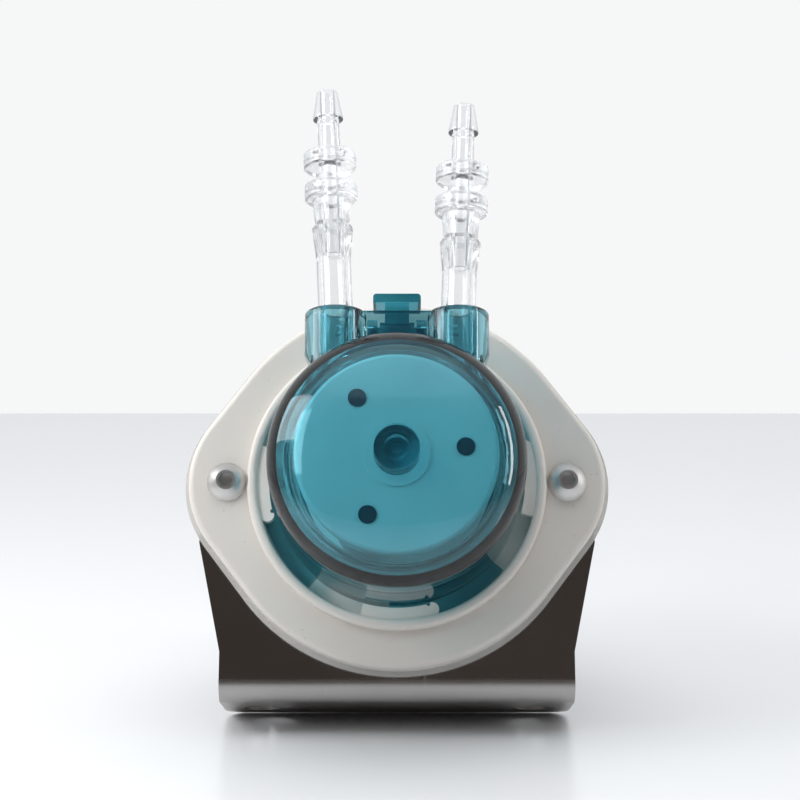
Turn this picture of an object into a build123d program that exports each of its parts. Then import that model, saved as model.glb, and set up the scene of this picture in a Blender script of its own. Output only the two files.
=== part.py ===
"""Peristaltic pump: a quick-release roller head on a stepper motor and an angle bracket.

Millimetres. X is to the right, Y points back to the motor and Z is up. The origin is on the
foot's underside, midway between its two bolt holes. Every piece is drawn in the head frame,
which has its origin on the pump axis at the plate's front face: x right, y up, z forward.
"""
from build123d import *
import os
from math import acos, asin, cos, degrees, radians, sin, sqrt

os.makedirs("parts", exist_ok=True)

# ---- overall layout -------------------------------------------------------------------------
axis_height = 31.0          # pump axis above the foot's underside
foot_hole_setback = 10.0    # foot holes behind the plate's front face
housing_r = 18.0            # roller head; the flange's recess, the ports and the tab follow it
running_gap = 0.05          # radial clearance of a pin or shaft that turns
loose_gap = 0.15            # clearance of a piece that is only laid or pushed in
fit_gap = 0.1               # clearance of a piece that locates another
free_gap = 0.3              # clearance of faces that pass each other
blend = 0.05                # overlap used to join features of one piece
over = 1.0                  # cutting shapes run past the faces they cut by this much

# ---- angle bracket --------------------------------------------------------------------------
sheet = 2.0                 # sheet thickness
bend_inner_r = 1.0
bracket_neck_half = 28.9    # half width just below the flange
neck_slant = 1.5            # the neck is this much narrower at the pump axis
bracket_foot_half = 25.6
taper_top_y = -8.0
taper_bottom_y = -24.0
foot_length = 16.0          # from the plate's front face
foot_corner_r = 3.0
foot_hole_r = 2.6
foot_hole_spacing = 40.0
plate_inset = 1.0           # plate edge inside the flange edge

# ---- mounting flange and its gasket ---------------------------------------------------------
flange_r = 27.0
ear_r = 14.0
ear_x = 16.3
gasket_t = 0.8
gasket_bore_gap = 1.0       # gasket bore clear of the motor's pilot
gasket_lip = 0.7            # gasket edge outside the flange edge
flange_t = 3.5
flange_floor_t = 1.2        # floor of the recess that takes the cartridge
flange_edge_r = 0.9
flange_bore_r = 6.0
ridge_outer_r = housing_r + 3.7
ridge_inner_r = housing_r + 2.2
ridge_h = 1.5
ridge_round = 0.65
clamp_lug_inner_r = housing_r + 0.5
clamp_lug_t = 1.3
clamp_lug_half_angle = 15.0
clamp_lug_gap = 0.2         # cartridge lugs slide under the clamp lugs with this gap
lug_count = 4
lug_root = 0.3              # lugs reach into the wall they grow from
detent_r = 1.0
detent_notch_r = 0.3
detent_notch_turn = 1.0     # degrees before the lug's end

# ---- fasteners ------------------------------------------------------------------------------
m3_r = 1.5
m3_clear_r = 1.7
button_head_r = 2.85
button_head_h = 1.65
button_dome_r = 3.15
button_dome_sink = 1.15     # centre of the dome behind the flange's front
hex_key_af = 2.0
hex_key_depth = 1.0
flange_screw_x = 24.7
flange_screw_length = 11.0
washer_r = 3.0
washer_t = 0.5
nut_af = 5.5
nut_t = 2.4
counterbore_r = 3.2
csk_head_r = 2.9
csk_head_h = 1.6
csk_half_angle = 40.0       # of the cone under the head
motor_screw_length = 6.0
tie_screw_head_r = 2.75
tie_screw_head_h = 1.8
cross_half = 1.5
cross_half_t = 0.35
cross_depth = 0.9

# ---- cartridge ------------------------------------------------------------------------------
track_r = housing_r - 2.3   # running surface that backs the tube
housing_wall_t = 1.8        # rear wall
housing_depth = 17.3        # rear face to the joint with the cover
housing_bore_r = 5.2
cartridge_lug_r = housing_r + 1.9
cartridge_lug_t = 1.6
cartridge_lug_start = -3.5  # degrees past each clamp lug's middle
cartridge_lug_sweep = 53.5
cartridge_turn = 22.5       # turn that frees the lugs
seam_chamfer = 0.15

# ---- cover ----------------------------------------------------------------------------------
cover_rise = 7.5
cover_t = 1.7
cover_mouth_r = track_r - 0.7
cover_spigot = 2.0
post_r = 3.1
crown_recess_r = 1.7
crown_recess_depth = 2.4
gate_nub_r = 0.85
gate_nub_h = 1.3            # above the floor of the recess
gate_pit_r = 0.3
gate_pit_depth = 0.3

# ---- ports ----------------------------------------------------------------------------------
port_x = housing_r * 0.489
port_r = 4.4
port_top = housing_r + 4.9  # above the pump axis
port_edge_r = 0.6
port_foot_outer_y = housing_r - 1.5   # outer wall slopes in below this height
port_foot_inner = (housing_r * 0.6556, housing_r * 0.7556)
port_foot_slant = (2.0, 3.0)
port_flare = 0.5            # chamfer at the mouth of the bore
port_bore_overlap = 0.35    # straight bore below the top of the curved channel
port_setting = 1.65         # port centres forward of the middle of the tube's track
bridge_t = 1.5
bridge_root = 2.5           # the bridge reaches into the housing
bridge_front = 1.0          # bridge front face forward of the port centres

# ---- pump tube ------------------------------------------------------------------------------
tube_r = 2.5
tube_bore_r = 1.5
flat_half_t = 0.8           # squeezed tube, radially
flat_half_w = 3.65          # squeezed tube, along the pump axis
leave_angle = 40.0          # where the tube leaves the track, above the horizontal
stub_bend_r = 60.0
tube_steps = 4              # stages between the squeezed and the round section
left_lean = 2.6             # degrees outwards
right_lean = 2.0
left_stub_top = port_top + 17.1       # tube end above the pump axis
right_stub_top = port_top + 14.95
swell_length = 9.0          # stretch of tube over the lower barb
swell_squeeze = 0.1         # wall thinned by the stretch
barb_land = 0.2             # half length of the widest stretch over the barb
tube_lip = 0.4              # tube bore below the tip of the connector's tail
tail_gap = 0.2              # between that bore and the tail's tip

# ---- barbed connectors ----------------------------------------------------------------------
disc_r = 3.85
disc_t = 2.4
disc_gap = 2.5
disc_edge_r = 0.3
waist_r = 1.8
spout_neck_r = 1.6
spout_neck_length = 5.4
barb_r = 2.2
barb_rim_t = 0.4
barb_length = 3.9
barb_tip_r = 1.5
connector_bore_r = 0.9
tail_root_r = 1.9
tail_neck_r = 1.6
tail_neck_length = 3.6
tail_barb_r = 2.05
tail_barb_length = 1.0
tail_tip_r = 1.35
nib_r = 0.5                 # moulding nib on each disc's edge
nib_x = 1.925
nib_z = 3.2

# ---- roller rotor ---------------------------------------------------------------------------
roller_r = housing_r / 4
roller_count = 3
roller_tube_gap = 0.2
roller_pitch_r = track_r - fit_gap - 2 * flat_half_t - roller_tube_gap - roller_r
roller_start_angle = 5.2
roller_length = 12.5
pin_r = 1.25
pin_proud = 0.15
pin_floor = 0.4             # carrier left behind each pin
roller_chamfer = 0.4
rotor_rear_r = track_r - 2.1
rotor_rear_t = 2.0
rotor_front_r = track_r - 1.9
rotor_front_t = 2.5
rotor_edge_r = 0.6
hub_r = roller_pitch_r - roller_r - 0.4
collar_r = 4.6
collar_h = 0.2
shaft_socket_end = 0.4      # front plate web between the shaft end and the post's bore

# ---- release tab ----------------------------------------------------------------------------
tab_width = 6.9
tab_t = 1.35
tab_length = 6.0
tab_under_y = housing_r + 6.75
tab_front = 12.3            # forward of the plate's front face
tab_corner_r = 0.5
tab_rib_width = 3.5
tab_rib_back = 2.0          # rib front face behind the tab's front edge
tab_rib_length = 3.1
pivot_y = housing_r + 3.0
pivot_z = 9.0
barrel_r = 1.5
barrel_half = 2.5
trunnion_r = 0.8
trunnion_half = 3.9
ear_t = 1.5
ear_length = 3.6
ear_root = 2.0              # ears reach into the housing
ear_top = port_top - 0.5
tooth_under_y = ridge_inner_r + 1.15
tooth_top_y = tooth_under_y + 1.25
tooth_back = 4.6
tooth_dip = 0.5             # depth of the tooth's notch in the ridge
ramp_sweep = 11.5           # degrees of ridge that lift the tooth out again
ramp_run_out = 0.1          # ramp ends this far outside the ridge
notch_side_gap = 0.2        # tooth clear of the notch's sides

# ---- stepper motor --------------------------------------------------------------------------
motor_side = 42.3
motor_corner = 4.0
motor_bolt_half = 15.5
front_cap_t = 9.0
stator_t = 22.0
rear_cap_t = 9.0
cap_cavity_r = 17.0
cap_cavity_depth = 4.6
pilot_r = 11.0
pilot_h = 1.8
cap_bore_r = 3.8
pilot_gap = 0.1
shaft_r = 2.5
shaft_flat_depth = 0.5
shaft_rear_gap = 1.2
bearing_outer_r = 8.0
bearing_t = 5.0
bearing_ring_t = 1.3
bearing_lip = 1.5           # bearing stands out of its seat into the cap's cavity
ball_r = (bearing_outer_r - shaft_r) / 2 - bearing_ring_t + running_gap
ball_count = 8
stator_bore_r = 11.0
stator_slot_r = 16.8
pole_count = 8
pole_width = 4.0
pole_shoe_t = 1.3
pole_shoe_half_angle = 17.0
coil_wall = 1.7
coil_gap = 0.2
stator_root = 0.5           # poles reach into the ring that carries them
coil_overhang = 2.6
air_gap = 0.25
magnet_r = 9.5
magnet_t = 2.0
rotor_core_t = 9.0
wave_washer_t = 0.4
board_t = 1.0
socket_width = 16.0
socket_depth = 5.8
socket_h = 6.0
socket_sink = 2.0           # set into the rear cap
socket_floor = 1.5
socket_inset = 1.5          # in front of the cap's rear face
socket_wall = 0.8
socket_pin_count = 6
socket_pin_pitch = 2.0
socket_pin_half = 0.25
socket_pin_low = 1.5        # pin tips below the socket's rim

# ---- places worked out from the sizes above (z forward of the plate's front face) -----------
flange_front = gasket_t + flange_t
recess_floor = gasket_t + flange_floor_t
housing_back = recess_floor + fit_gap
clamp_lug_back = housing_back + cartridge_lug_t + clamp_lug_gap
ridge_top = flange_front + ridge_h
seam = housing_back + housing_depth
cavity_back = housing_back + housing_wall_t
rotor_rear_back = cavity_back + 2 * free_gap
roller_back = rotor_rear_back + rotor_rear_t + free_gap
roller_front = roller_back + roller_length
rotor_front_back = roller_front + free_gap
rotor_front_face = rotor_front_back + rotor_front_t
shaft_end = rotor_front_back + shaft_socket_end / 2
post_end = shaft_end + shaft_socket_end + fit_gap
port_z = (cavity_back + seam) / 2 + port_setting
tube_line_r = track_r - fit_gap - flat_half_t
motor_face = -sheet
stator_front = motor_face - front_cap_t
stator_back = stator_front - stator_t
motor_back = stator_back - rear_cap_t
HEAD = Plane((0, -foot_hole_setback, axis_height), x_dir=(1, 0, 0), z_dir=(0, -1, 0))


# ---- small helpers --------------------------------------------------------------------------
def save(name, *pieces):
    """Write one node; several pieces stay separate solids in the same file."""
    solids = []
    for piece in pieces:
        solids.extend((HEAD.location * piece).solids())
    shape = solids[0] if len(solids) == 1 else Compound(solids)
    shape.label = name
    export_step(shape, f"parts/{name}.step")


def disc(radius, start, end, x=0.0, y=0.0):
    """Cylinder along the pump axis from start to end."""
    low, high = min(start, end), max(start, end)
    return Pos(x, y, low) * extrude(Circle(radius), high - low)


def ring(outer, inner, start, end, x=0.0, y=0.0):
    return disc(outer, start, end, x, y) - disc(inner, min(start, end) - over, max(start, end) + over, x, y)


def block(x0, x1, y0, y1, z0, z1):
    size = (abs(x1 - x0), abs(y1 - y0), abs(z1 - z0))
    return Pos((x0 + x1) / 2, (y0 + y1) / 2, (z0 + z1) / 2) * Box(*size)


def polar(radius, angle):
    return radius * cos(radians(angle)), radius * sin(radians(angle))


def sector(inner, outer, start_angle, sweep, z0, z1):
    """Part of a ring, seen from the front, counter-clockwise from start_angle."""
    profile = Pos((inner + outer) / 2, 0, (z0 + z1) / 2) * (Rot(90, 0, 0) * Rectangle(outer - inner, z1 - z0))
    return Rot(0, 0, start_angle) * revolve(profile, Axis.Z, sweep)


def turned(points):
    """Solid of revolution about Y from (radius, height) points."""
    return revolve(make_face(Polyline(*points, close=True)), Axis.Y, 360)


def corners(half):
    return [(sx * half, sy * half) for sx in (-1, 1) for sy in (-1, 1)]


def flange_outline(grow):
    ears = Pos(ear_x, 0) * Circle(ear_r + grow) + Pos(-ear_x, 0) * Circle(ear_r + grow)
    circles = Circle(flange_r + grow) + ears
    return make_hull(circles.edges())


# ---- bracket --------------------------------------------------------------------------------
def bracket():
    bottom = -axis_height
    bend = bend_inner_r + sheet
    lower_half = [(bracket_neck_half - neck_slant, 0), (bracket_neck_half, taper_top_y),
                  (bracket_foot_half, taper_bottom_y), (bracket_foot_half, bottom)]
    lower = make_face(Polyline(*lower_half, *[(-x, y) for x, y in reversed(lower_half)], close=True))
    outline = extrude(flange_outline(-plate_inset) + lower, -foot_length)
    top = flange_r
    half = 2 * flange_r
    side = [(top, 0), (bottom, 0), (bottom, -foot_length), (bottom + sheet, -foot_length),
            (bottom + sheet, -sheet), (top, -sheet)]
    profile = make_face(Polyline(*[(-half, y, z) for y, z in side], close=True))
    folded = extrude(profile, 2 * half, dir=(1, 0, 0))
    outer_bend = folded.edges().filter_by(Axis.X).sort_by_distance((0, bottom, 0))[0]
    folded = fillet(outer_bend, bend)
    inner_bend = folded.edges().filter_by(Axis.X).sort_by_distance((0, bottom + sheet, -sheet))[0]
    folded = fillet(inner_bend, bend_inner_r)
    body = folded & outline
    rear = body.edges().filter_by(Axis.Y).group_by(Axis.Z)[0]
    body = fillet(rear, foot_corner_r)
    body -= disc(pilot_r + pilot_gap, over, -sheet - over)
    for side_x in (-1, 1):
        body -= disc(m3_clear_r, over, -sheet - over, side_x * flange_screw_x)
        hole = Rot(90, 0, 0) * Cylinder(foot_hole_r, 4 * sheet)
        body -= Pos(side_x * foot_hole_spacing / 2, bottom, -foot_hole_setback) * hole
    for x, y in corners(motor_bolt_half):
        body -= csk_screw(x, y, loose_gap)
    return body


def csk_screw(x, y, grow=0.0):
    """Countersunk screw with its head flush in the plate's front face."""
    head = Pos(x, y, -csk_head_h) * extrude(Circle(m3_r + grow), csk_head_h + grow, taper=-csk_half_angle)
    head &= disc(csk_head_r + grow, -csk_head_h, grow, x, y)
    return head + disc(m3_r + grow, -motor_screw_length, -csk_head_h + blend, x, y)


def hex_socket():
    return extrude(RegularPolygon(hex_key_af / 2, 6, major_radius=False), hex_key_depth + over)


def motor_mount_screws():
    screws = []
    for x, y in corners(motor_bolt_half):
        screws.append(csk_screw(x, y) - Pos(x, y, -hex_key_depth) * hex_socket())
    return screws


# ---- gasket and mounting flange -------------------------------------------------------------
def gasket():
    bore = disc(pilot_r + gasket_bore_gap, -over, gasket_t + over)
    body = extrude(flange_outline(gasket_lip), gasket_t) - bore
    for side_x in (-1, 1):
        body -= disc(m3_clear_r, -over, gasket_t + over, side_x * flange_screw_x)
    return body


def mounting_flange():
    plate = Pos(0, 0, gasket_t) * extrude(flange_outline(0), flange_t)
    rim = plate.faces().sort_by(Axis.Z)[-1].edges()
    body = fillet(rim, flange_edge_r)
    ridge = ring(ridge_outer_r, ridge_inner_r, flange_front - blend, ridge_top)
    ridge = fillet(ridge.faces().sort_by(Axis.Z)[-1].edges(), ridge_round)
    body -= disc(ridge_inner_r, recess_floor, flange_front + over)
    body += ridge
    body -= disc(flange_bore_r, 0, flange_front)
    for index in range(lug_count):
        middle = index * 360 / lug_count
        body += clamp_lug(middle)
    for side_x in (-1, 1):
        body -= disc(m3_clear_r, 0, flange_front + over, side_x * flange_screw_x)
        body -= disc(counterbore_r, flange_front, ridge_top + over, side_x * flange_screw_x)
    return body - tooth_notch()


def clamp_lug(middle):
    """Lug that the cartridge turns under, with the bump that its lug clicks past."""
    lug_front = clamp_lug_back + clamp_lug_t
    start = middle - clamp_lug_half_angle
    lug_sweep = 2 * clamp_lug_half_angle
    lug = sector(clamp_lug_inner_r, ridge_inner_r + lug_root, start, lug_sweep, clamp_lug_back, lug_front)
    bump_r = (clamp_lug_inner_r + ridge_inner_r) / 2
    x, y = polar(bump_r, middle + clamp_lug_half_angle)
    lug += disc(detent_r, clamp_lug_back, lug_front, x, y)
    x, y = polar(clamp_lug_inner_r, middle + clamp_lug_half_angle - detent_notch_turn)
    return lug - disc(detent_notch_r, clamp_lug_back - over, lug_front + over, x, y)


def tooth_notch():
    """Notch in the ridge for the release tab's tooth; its far side is the ramp that lifts it."""
    notch_r = tooth_under_y - loose_gap
    side = degrees((tab_rib_width / 2 + notch_side_gap) / notch_r)
    high = ridge_outer_r + over
    route = [polar(notch_r, 90 - side), polar(notch_r, 90 + side),
             polar(ridge_outer_r + ramp_run_out, 90 + side + ramp_sweep), polar(high, 90 + side + ramp_sweep),
             polar(high, 90 - side)]
    return Pos(0, 0, flange_front) * extrude(make_face(Polyline(*route, close=True)), ridge_h + over)


def flange_screws():
    screws = []
    for side_x in (-1, 1):
        head = disc(button_head_r, flange_front, flange_front + button_head_h)
        head &= Pos(0, 0, flange_front - button_dome_sink) * Sphere(button_dome_r)
        head -= Pos(0, 0, flange_front + button_head_h - hex_key_depth) * hex_socket()
        shank = disc(m3_r, flange_front - flange_screw_length, flange_front + blend)
        screws.append(Pos(side_x * flange_screw_x, 0, 0) * (head + shank))
    return screws


def flange_washers():
    return [ring(washer_r, m3_r, -sheet - washer_t, -sheet, side_x * flange_screw_x) for side_x in (-1, 1)]


def flange_nuts():
    nuts = []
    for side_x in (-1, 1):
        hexagon = RegularPolygon(nut_af / 2, 6, major_radius=False, rotation=30) - Circle(m3_r)
        nuts.append(Pos(side_x * flange_screw_x, 0, -sheet - washer_t - nut_t) * extrude(hexagon, nut_t))
    return nuts


# ---- pump tube: one piece from connector to connector ---------------------------------------
def leave_arc(side_x):
    """Centre, radius and top of the arc that takes the tube from the track to the port."""
    x, y = polar(tube_line_r, leave_angle)
    radius = (x - port_x) / (1 - cos(radians(leave_angle)))
    top = y + radius * sin(radians(leave_angle))
    return side_x * (port_x + radius), radius, top


def tube_in_housing(grow):
    """Squeezed loop round the track and the two arcs that open out to the round stubs."""
    flat = Rot(90, 0, 0) * Ellipse(flat_half_t + grow, flat_half_w + grow)
    loop = revolve(Pos(tube_line_r, 0, port_z) * flat, Axis.Z, 180 + 2 * leave_angle)
    body = Rot(0, 0, 180 - leave_angle) * loop
    for side_x in (-1, 1):
        centre_x, radius, top = leave_arc(side_x)
        sections = []
        for index in range(tube_steps + 1):
            share = index / tube_steps
            ease = share * share * (3 - 2 * share)
            turn = leave_angle * (1 - share)
            x = centre_x - side_x * radius * cos(radians(turn))
            y = top - radius * sin(radians(turn))
            outward = (-side_x * cos(radians(turn)), -sin(radians(turn)), 0)
            along = (-side_x * sin(radians(turn)), cos(radians(turn)), 0)
            thin = flat_half_t + (tube_r - flat_half_t) * ease + grow
            wide = flat_half_w + (tube_r - flat_half_w) * ease + grow
            sections.append(Plane((x, y, port_z), x_dir=outward, z_dir=along) * Ellipse(thin, wide))
        body += loft(sections)
    return body


def leaned(side_x, piece):
    """Carry a piece drawn about the Y axis, heights above the pump axis, to a leaning stub."""
    lean = left_lean if side_x < 0 else -right_lean
    return Pos(side_x * port_x, port_top, port_z) * Rot(0, 0, lean) * Pos(0, -port_top, 0) * piece


def stub_path(side_x, top):
    centre_x, radius, start = leave_arc(side_x)
    lean = radians(left_lean if side_x < 0 else right_lean)
    end_x = side_x * (port_x + (top - port_top) * sin(lean))
    end_y = port_top + (top - port_top) * cos(lean)
    points = [(side_x * port_x, start, port_z), (side_x * port_x, port_top, port_z), (end_x, end_y, port_z)]
    return FilletPolyline(*points, radius=stub_bend_r)


def stub_pipe(side_x, top, radius):
    path = stub_path(side_x, top)
    return sweep(Plane(path @ 0, z_dir=path % 0) * Circle(radius), path=path)


def swollen_end(top):
    """Tube end stretched over the connector's lower barb, as a solid profile about Y."""
    wall = tube_r - tube_bore_r - swell_squeeze
    start = top - swell_length
    barb_y = top - tail_neck_length - tail_barb_length
    return turned([(0, start), (tube_r, start), (tail_barb_r + wall, barb_y - barb_land),
                   (tail_barb_r + wall, barb_y + barb_land), (tail_neck_r + wall, top - tail_neck_length),
                   (tail_root_r + wall, top), (0, top)])


def tube_bore_end(top):
    """Bore of the stretched end below the connector's tail."""
    start = top - swell_length
    lip = start + tube_lip
    return turned([(0, start - over), (tube_bore_r, start - over), (tube_bore_r, lip),
                   (tail_tip_r, lip), (tail_tip_r, start + over), (0, start + over)])


def pump_tube():
    body = tube_in_housing(0)
    for side_x, top in ((-1, left_stub_top), (1, right_stub_top)):
        start = top - swell_length
        body += stub_pipe(side_x, start, tube_r)
        body += leaned(side_x, swollen_end(top))
    for side_x, top in ((-1, left_stub_top), (1, right_stub_top)):
        body -= stub_pipe(side_x, top - swell_length, tube_bore_r)
        body -= leaned(side_x, tube_bore_end(top))
        body -= leaned(side_x, connector_profile(top))
    return body


# ---- barbed connectors ----------------------------------------------------------------------
def connector_profile(top):
    """Outside of a connector whose lower disc sits on the tube end at this height."""
    tail_tip = top - swell_length + tube_lip + tail_gap
    barb_y = top - tail_neck_length - tail_barb_length
    waist = top + disc_t
    upper = waist + disc_gap
    neck = upper + disc_t
    rim = neck + spout_neck_length
    tip = rim + barb_rim_t + barb_length
    return turned([(0, tail_tip), (tail_tip_r, tail_tip), (tail_barb_r, barb_y),
                   (tail_neck_r, barb_y + tail_barb_length), (tail_root_r, top), (disc_r, top),
                   (disc_r, waist), (waist_r, waist), (waist_r, upper),
                   (disc_r, upper), (disc_r, neck), (spout_neck_r, neck), (spout_neck_r, rim), (barb_r, rim),
                   (barb_r, rim + barb_rim_t), (barb_tip_r, tip), (0, tip)])


def connector(side_x, top):
    body = connector_profile(top)
    rims = body.edges().filter_by(GeomType.CIRCLE).filter_by(lambda edge: abs(edge.radius - disc_r) < blend)
    body = fillet(rims, disc_edge_r)
    for nib_y in (top + disc_t / 2, top + disc_t + disc_gap + disc_t / 2):
        body += Pos(nib_x, nib_y, nib_z) * Sphere(nib_r)
    total = body.bounding_box().max.Y
    body -= Pos(0, total / 2 + over, 0) * Rot(90, 0, 0) * Cylinder(connector_bore_r, total)
    return leaned(side_x, body)


# ---- cartridge housing and cover ------------------------------------------------------------
def port_block():
    """Two ports, the wall that joins them and the two ears that hold the release tab."""
    body = None
    for side_x in (-1, 1):
        boss = Pos(side_x * port_x, port_top / 2, port_z) * Rot(90, 0, 0) * Cylinder(port_r, port_top)
        boss = fillet(boss.edges().filter_by(GeomType.CIRCLE).group_by(Axis.Y)[-1], port_edge_r)
        outer_x = port_x + port_r
        corner_x, corner_y = port_foot_inner
        inside_x = corner_x - port_foot_slant[0]
        cut = [(outer_x, port_foot_outer_y), (corner_x, corner_y), (inside_x, corner_y - port_foot_slant[1]),
               (inside_x, -over), (outer_x + over, -over), (outer_x + over, port_foot_outer_y)]
        under = extrude(make_face(Polyline(*[(side_x * x, y) for x, y in cut], close=True)), 2 * seam)
        boss -= under
        body = boss if body is None else body + boss
        inner_x = barrel_half + free_gap
        ear = block(side_x * inner_x, side_x * (inner_x + ear_t), housing_r - ear_root, ear_top,
                    pivot_z - ear_length / 2, pivot_z + ear_length / 2)
        body += ear
    bridge_z = port_z + bridge_front
    body += block(-port_x, port_x, housing_r - bridge_root, port_top, bridge_z - bridge_t, bridge_z)
    body -= Pos(0, pivot_y, pivot_z) * Rot(0, 90, 0) * Cylinder(trunnion_r + running_gap, 2 * port_x)
    return body


def cartridge_housing():
    body = disc(housing_r, housing_back, seam)
    body = chamfer(body.faces().sort_by(Axis.Z)[-1].edges(), seam_chamfer)
    body += port_block()
    for index in range(lug_count):
        start = index * 360 / lug_count + cartridge_lug_start
        lug_front = housing_back + cartridge_lug_t
        body += sector(housing_r - over, cartridge_lug_r, start, cartridge_lug_sweep, housing_back, lug_front)
    body -= disc(track_r, cavity_back, seam + over)
    body -= disc(housing_bore_r, 0, seam)
    body -= tube_in_housing(loose_gap)
    for side_x in (-1, 1):
        body -= port_bore(side_x)
    return body


def port_bore(side_x):
    centre_x, radius, start = leave_arc(side_x)
    bore_r = tube_r + loose_gap + blend
    height = port_top + 1 - start + port_bore_overlap
    middle_y = start - port_bore_overlap + height / 2
    bore = Pos(side_x * port_x, middle_y, port_z) * Rot(90, 0, 0) * Cylinder(bore_r, height)
    flare = Rot(90, 0, 0) * Cone(bore_r + port_flare, bore_r, 2 * port_flare)
    return bore + Pos(side_x * port_x, port_top, port_z) * flare


def cartridge_cover():
    """Ellipsoidal shell with a spigot in the housing's mouth and a post in the rotor's bore.

    It is one turned profile, heights above the seam.
    """
    seam_turn = degrees(asin(seam_chamfer / cover_rise))
    crown_turn = degrees(acos(crown_recess_r / housing_r))
    outer = EllipticalCenterArc((0, 0), housing_r, cover_rise, seam_turn, arc_size=crown_turn - seam_turn)
    inner_r = housing_r - cover_t
    mouth_turn = degrees(acos(cover_mouth_r / inner_r))
    post_turn = degrees(acos(post_r / inner_r))
    inner_rise = cover_rise - cover_t
    inner = EllipticalCenterArc((0, 0), inner_r, inner_rise, mouth_turn, arc_size=post_turn - mouth_turn)
    recess_floor_h = cover_rise - crown_recess_depth
    nub_top = recess_floor_h + gate_nub_h
    pit_floor = nub_top - gate_pit_depth
    crown = [outer @ 1, (crown_recess_r, recess_floor_h), (gate_nub_r, recess_floor_h), (gate_nub_r, nub_top),
             (gate_pit_r, nub_top), (gate_pit_r, pit_floor), (0, pit_floor),
             (0, post_end - seam), (post_r, post_end - seam), inner @ 1]
    spigot_r = track_r - fit_gap
    rim = [inner @ 0, (cover_mouth_r, -cover_spigot), (spigot_r, -cover_spigot), (spigot_r, 0),
           (housing_r - seam_chamfer, 0), outer @ 0]
    face = make_face(outer.edges() + Polyline(*crown).edges() + inner.edges() + Polyline(*rim).edges())
    return Pos(0, 0, seam) * revolve(Rot(90, 0, 0) * face, Axis.Z, 360)


# ---- release tab ----------------------------------------------------------------------------
def release_tab():
    """Thumb plate on a rib, its two trunnions and the tooth that locks in the ridge."""
    half = tab_width / 2
    plate = block(-half, half, tab_under_y, tab_under_y + tab_t, tab_front - tab_length, tab_front)
    plate = fillet(plate.edges().filter_by(Axis.Z).group_by(Axis.Y)[-1], tab_corner_r)
    rib_front = tab_front - tab_rib_back
    rib_half = tab_rib_width / 2
    rib_back = rib_front - tab_rib_length
    body = plate + block(-rib_half, rib_half, pivot_y, tab_under_y + blend, rib_back, rib_front)
    body += Pos(0, pivot_y, pivot_z) * Rot(0, 90, 0) * Cylinder(barrel_r, 2 * barrel_half)
    body += Pos(0, pivot_y, pivot_z) * Rot(0, 90, 0) * Cylinder(trunnion_r, 2 * trunnion_half)
    return body + block(-rib_half, rib_half, tooth_under_y, tooth_top_y, tooth_back, pivot_z)


# ---- roller rotor ---------------------------------------------------------------------------
def roller_places():
    step = 360 / roller_count
    return [polar(roller_pitch_r, roller_start_angle + index * step) for index in range(roller_count)]


def motor_shaft():
    rear = motor_back + shaft_rear_gap
    body = disc(shaft_r, rear, shaft_end)
    flat = shaft_r - shaft_flat_depth
    return body - block(-shaft_r, shaft_r, flat, shaft_r + over, rotor_rear_back - over, shaft_end + over)


def rotor_carrier():
    body = disc(rotor_rear_r, rotor_rear_back, rotor_rear_back + rotor_rear_t)
    body = fillet(body.edges().filter_by(GeomType.CIRCLE), rotor_edge_r / 2)
    body += disc(hub_r, rotor_rear_back, rotor_front_back)
    bore = disc(shaft_r, rotor_rear_back - over, rotor_front_back + over)
    flat = shaft_r - shaft_flat_depth
    bore -= block(-shaft_r, shaft_r, flat, shaft_r + over, rotor_rear_back - over, rotor_front_back + over)
    body -= bore
    for x, y in roller_places():
        body -= disc(pin_r, rotor_rear_back + pin_floor, rotor_front_back, x, y)
    return body


def rotor_front_plate():
    body = disc(rotor_front_r, rotor_front_back, rotor_front_face)
    body = fillet(body.edges().filter_by(GeomType.CIRCLE), rotor_edge_r)
    body += disc(collar_r, rotor_front_face - blend, rotor_front_face + collar_h)
    body -= disc(post_r + running_gap, shaft_end + shaft_socket_end, rotor_front_face + over)
    body -= disc(shaft_r, rotor_front_back - over, shaft_end)
    for x, y in roller_places():
        body -= disc(pin_r, rotor_front_back - over, rotor_front_face + over, x, y)
    return body


def roller_pins():
    start = rotor_rear_back + pin_floor
    return [disc(pin_r, start, rotor_front_face + pin_proud, x, y) for x, y in roller_places()]


def roller(x, y):
    body = disc(roller_r, roller_back, roller_front)
    body = chamfer(body.edges().filter_by(GeomType.CIRCLE), roller_chamfer)
    return Pos(x, y, 0) * (body - disc(pin_r + running_gap, 0, seam + over))


# ---- stepper motor --------------------------------------------------------------------------
def motor_block(z0, z1):
    square = chamfer(Rectangle(motor_side, motor_side).vertices(), motor_corner)
    return Pos(0, 0, min(z0, z1)) * extrude(square, abs(z1 - z0))


def motor_front_cap():
    body = motor_block(motor_face, stator_front) + disc(pilot_r, motor_face - blend, motor_face + pilot_h)
    body -= disc(cap_cavity_r, stator_front - over, stator_front + cap_cavity_depth)
    body -= disc(bearing_outer_r, stator_front - over, front_bearing_back() + bearing_t)
    body -= disc(cap_bore_r, motor_back, over)
    for x, y in corners(motor_bolt_half):
        body -= disc(m3_r, motor_back, 0, x, y)
    return body


def front_bearing_back():
    return stator_front + cap_cavity_depth - bearing_lip


def rear_bearing_back():
    return stator_back - cap_cavity_depth - bearing_t + bearing_lip


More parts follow.
